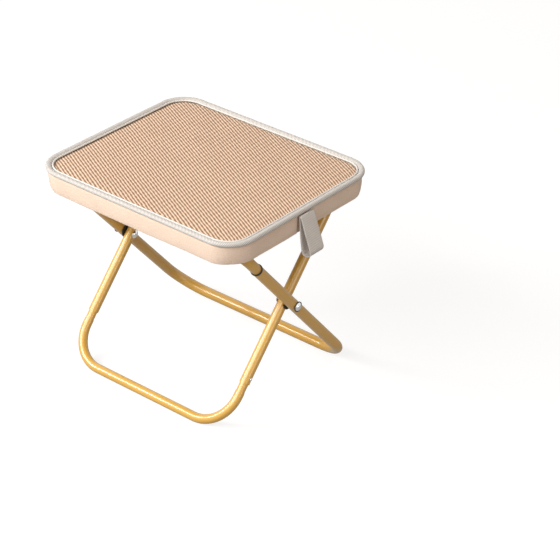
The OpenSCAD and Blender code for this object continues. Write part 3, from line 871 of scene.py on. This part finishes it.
# The groove colour is painted shade between the yarns of the webbing.
yarns = place_group(tree, weave, {
    "Coordinates": cloth, "Rib Pitch": 0.0016, "Rib Slant": radians(90), "Bead Length": 0.0026,
    "Bead Shift": 0.5, "Bead Depth": 0.9, "Groove Width": -0.3, "Unevenness": 0.4,
    "Ridge Colour": (0.94, 0.885, 0.845, 1), "Groove Shade Colour": (0.56, 0.525, 0.50, 1)})
faded = place_group(tree, mottle, {
    "Coordinates": cloth, "Patches per Metre": 70.0, "Softness": 0.35,
    "Light Colour": (1.0, 1.0, 1.0, 1), "Dark Colour": (0.88, 0.875, 0.87, 1)})
feed(tree, shader, {
    "Base Color": mix_colours(tree, 1.0, yarns["Colour"], faded["Colour"], "MULTIPLY"),
    "Roughness": remap(tree, yarns["Height"], 0.0, 1.0, 0.9, 0.66), "Sheen Weight": 0.2})
add_bump(tree, shader, yarns["Height"], 0.0004, 0.9)


def strap_section(width, thickness):
    """A flat band's section with rounded edges, (sideways, over)."""
    half, r = width / 2, thickness / 2
    section = [(-half + r + (half - r) * 2 * i / 8, -r) for i in range(9)]
    section += [(half - r + r * cos(turn), r * sin(turn)) for turn in (-pi / 4, 0, pi / 4)]
    return section + [(-sideways, -over) for sideways, over in section]


def strap_stations(line, sideways):
    """Stations along a line of points, with the strap's width along a given direction."""
    stations = []
    distance = 0
    for i, point in enumerate(line):
        if i:
            distance += (point - line[i - 1]).length
        ahead = (line[min(i + 1, len(line) - 1)] - line[max(i - 1, 0)]).normalized()
        stations.append((point, sideways, ahead.cross(sideways).normalized(), distance))
    return stations


loop_thickness = 0.0016
loop_width = 0.050
loop_offset = 0.062
loop_end = 0.0048
turned_out = ((0.0050, 0.0), (0.0034, 0.0), (0.0014, 0.0001), (0.0003, 0.0012), (0.0, 0.0030))
for half in ("front", "back"):
    low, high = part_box("bar_loops_" + half)
    bar_y = (low.y + high.y) / 2
    loop_radius = (high.y - low.y) / 2 - loop_end - loop_thickness / 2
    bar_z = low.z + loop_radius + loop_thickness / 2
    flat_z = high.z - loop_thickness / 2
    for side, offset in (("right", loop_offset), ("left", -loop_offset)):
        line = [Vector((offset, bar_y - loop_radius - out, flat_z - drop))
                for out, drop in turned_out]
        line += [Vector((offset, bar_y - loop_radius * cos(pi * i / 16),
                         bar_z - loop_radius * sin(pi * i / 16))) for i in range(17)]
        line += [Vector((offset, 2 * bar_y - point.y, point.z))
                 for point in reversed(line[:len(turned_out)])]
        loop = sweep("bar_loop_" + half + "_" + side, strap_stations(line, Vector((1, 0, 0))),
                     [strap_section(loop_width, loop_thickness)] * len(line), webbing)
        if side == "right":
            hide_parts("bar_loops_" + half)
        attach(loop, "seat_" + half)

# Loop staples
# Two bright steel staples hold each turned-out end of the bar loops to the board. Their legs
# are driven into the wood.
staple_length = 0.0095
staple_sink = 0.0003
staple_in = 0.0020
staple_shift = 0.012
wire_half_width = 0.00045
wire_half_height = 0.00035
staple_line = ((-0.5, 0.0012), (-0.485, 0.0002), (-0.46, 0.0), (0.0, 0.0), (0.46, 0.0),
               (0.485, 0.0002), (0.5, 0.0012))
for half in ("front", "back"):
    low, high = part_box("bar_loops_" + half)
    staple_z = high.z - loop_thickness - staple_sink
    points, faces, uvs = [], [], []
    for offset in (loop_offset, -loop_offset):
        for shift in (-staple_shift, staple_shift):
            for y in (low.y + staple_in, high.y - staple_in):
                rings = []
                for x, z in staple_line:
                    rings.append(len(points))
                    points += [(offset + shift + x * staple_length,
                                y + wire_half_width * cos(pi / 3 * k),
                                staple_z + z + wire_half_height * sin(pi / 3 * k))
                               for k in range(6)]
                for a, b in zip(rings, rings[1:]):
                    faces += [(a + k, a + (k + 1) % 6, b + (k + 1) % 6, b + k) for k in range(6)]
                    uvs += [[(0, 0), (0, 0.001), (0.001, 0.001), (0.001, 0)]] * 6
                faces += [tuple(rings[0] + k for k in reversed(range(6))),
                          tuple(rings[-1] + k for k in range(6))]
                uvs += [[(0, 0)] * 6] * 2
    staples = add_mesh("loop_staples_" + half, points, faces, uvs, bright_steel)
    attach(staples, "seat_" + half)

# Pull straps
# A short length of the same webbing doubled into a hanging loop at the middle of each short
# side. Both ends go up under the piping, where a stitched tab holds them, and the fold at its
# foot stays round, because the webbing is stiff.
strap_width = 0.028
strap_thickness = 0.0015
strap_middle = -0.004
strap_top = 0.2998
strap_foot = 0.2440
foot_radius = 0.0070
foot_turn = radians(197)
strap_reach = 0.0184
inner_x = 0.1763
inner_tuck = 0.0002
inner_bend = 1.6
bend_x, bend_z = 0.1788, 0.2965
outer_top_x = 0.1776
tab_width = 0.0118
tab_thickness = 0.0048
centre_x = inner_x + strap_reach - foot_radius
centre_z = strap_foot + foot_radius + strap_thickness / 2
inner_line = [(inner_x - inner_tuck + (centre_x - foot_radius - inner_x) * (i / 12) ** inner_bend,
               strap_top - (strap_top - centre_z) * i / 12) for i in range(12)]
foot_line = [(centre_x - foot_radius * cos(turn), centre_z - foot_radius * sin(turn))
             for turn in [foot_turn * i / 20 for i in range(21)]]
outer_line = []
for share in [i / 16 for i in range(1, 17)]:
    from_foot, bend, to_top = (1 - share) ** 2, 2 * share * (1 - share), share ** 2
    outer_line.append((foot_line[-1][0] * from_foot + bend_x * bend + outer_top_x * to_top,
                       foot_line[-1][1] * from_foot + bend_z * bend + strap_top * to_top))
for side, sign in (("right", 1), ("left", -1)):
    path = [Vector((sign * x, strap_middle, z)) for x, z in inner_line + foot_line + outer_line]
    pull_strap = sweep("pull_strap_" + side + "_webbing", strap_stations(path, Vector((0, 1, 0))),
                       [strap_section(strap_width, strap_thickness)] * len(path), webbing)
    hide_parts("pull_strap_" + side)
    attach(pull_strap, "strap_" + side)

    low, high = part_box("strap_anchor_" + side)
    tab_line = [Vector((low.x + (high.x - low.x) * share, 0, (low.z + high.z) / 2))
                for share in (0, 0.3, 0.7, 1)]
    tab = sweep("strap_tab_" + side, strap_stations(tab_line, Vector((0, 1, 0))),
                [strap_section(tab_width, tab_thickness)] * len(tab_line), webbing)
    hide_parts("strap_anchor_" + side)
    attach(tab, "strap_seam_" + side)
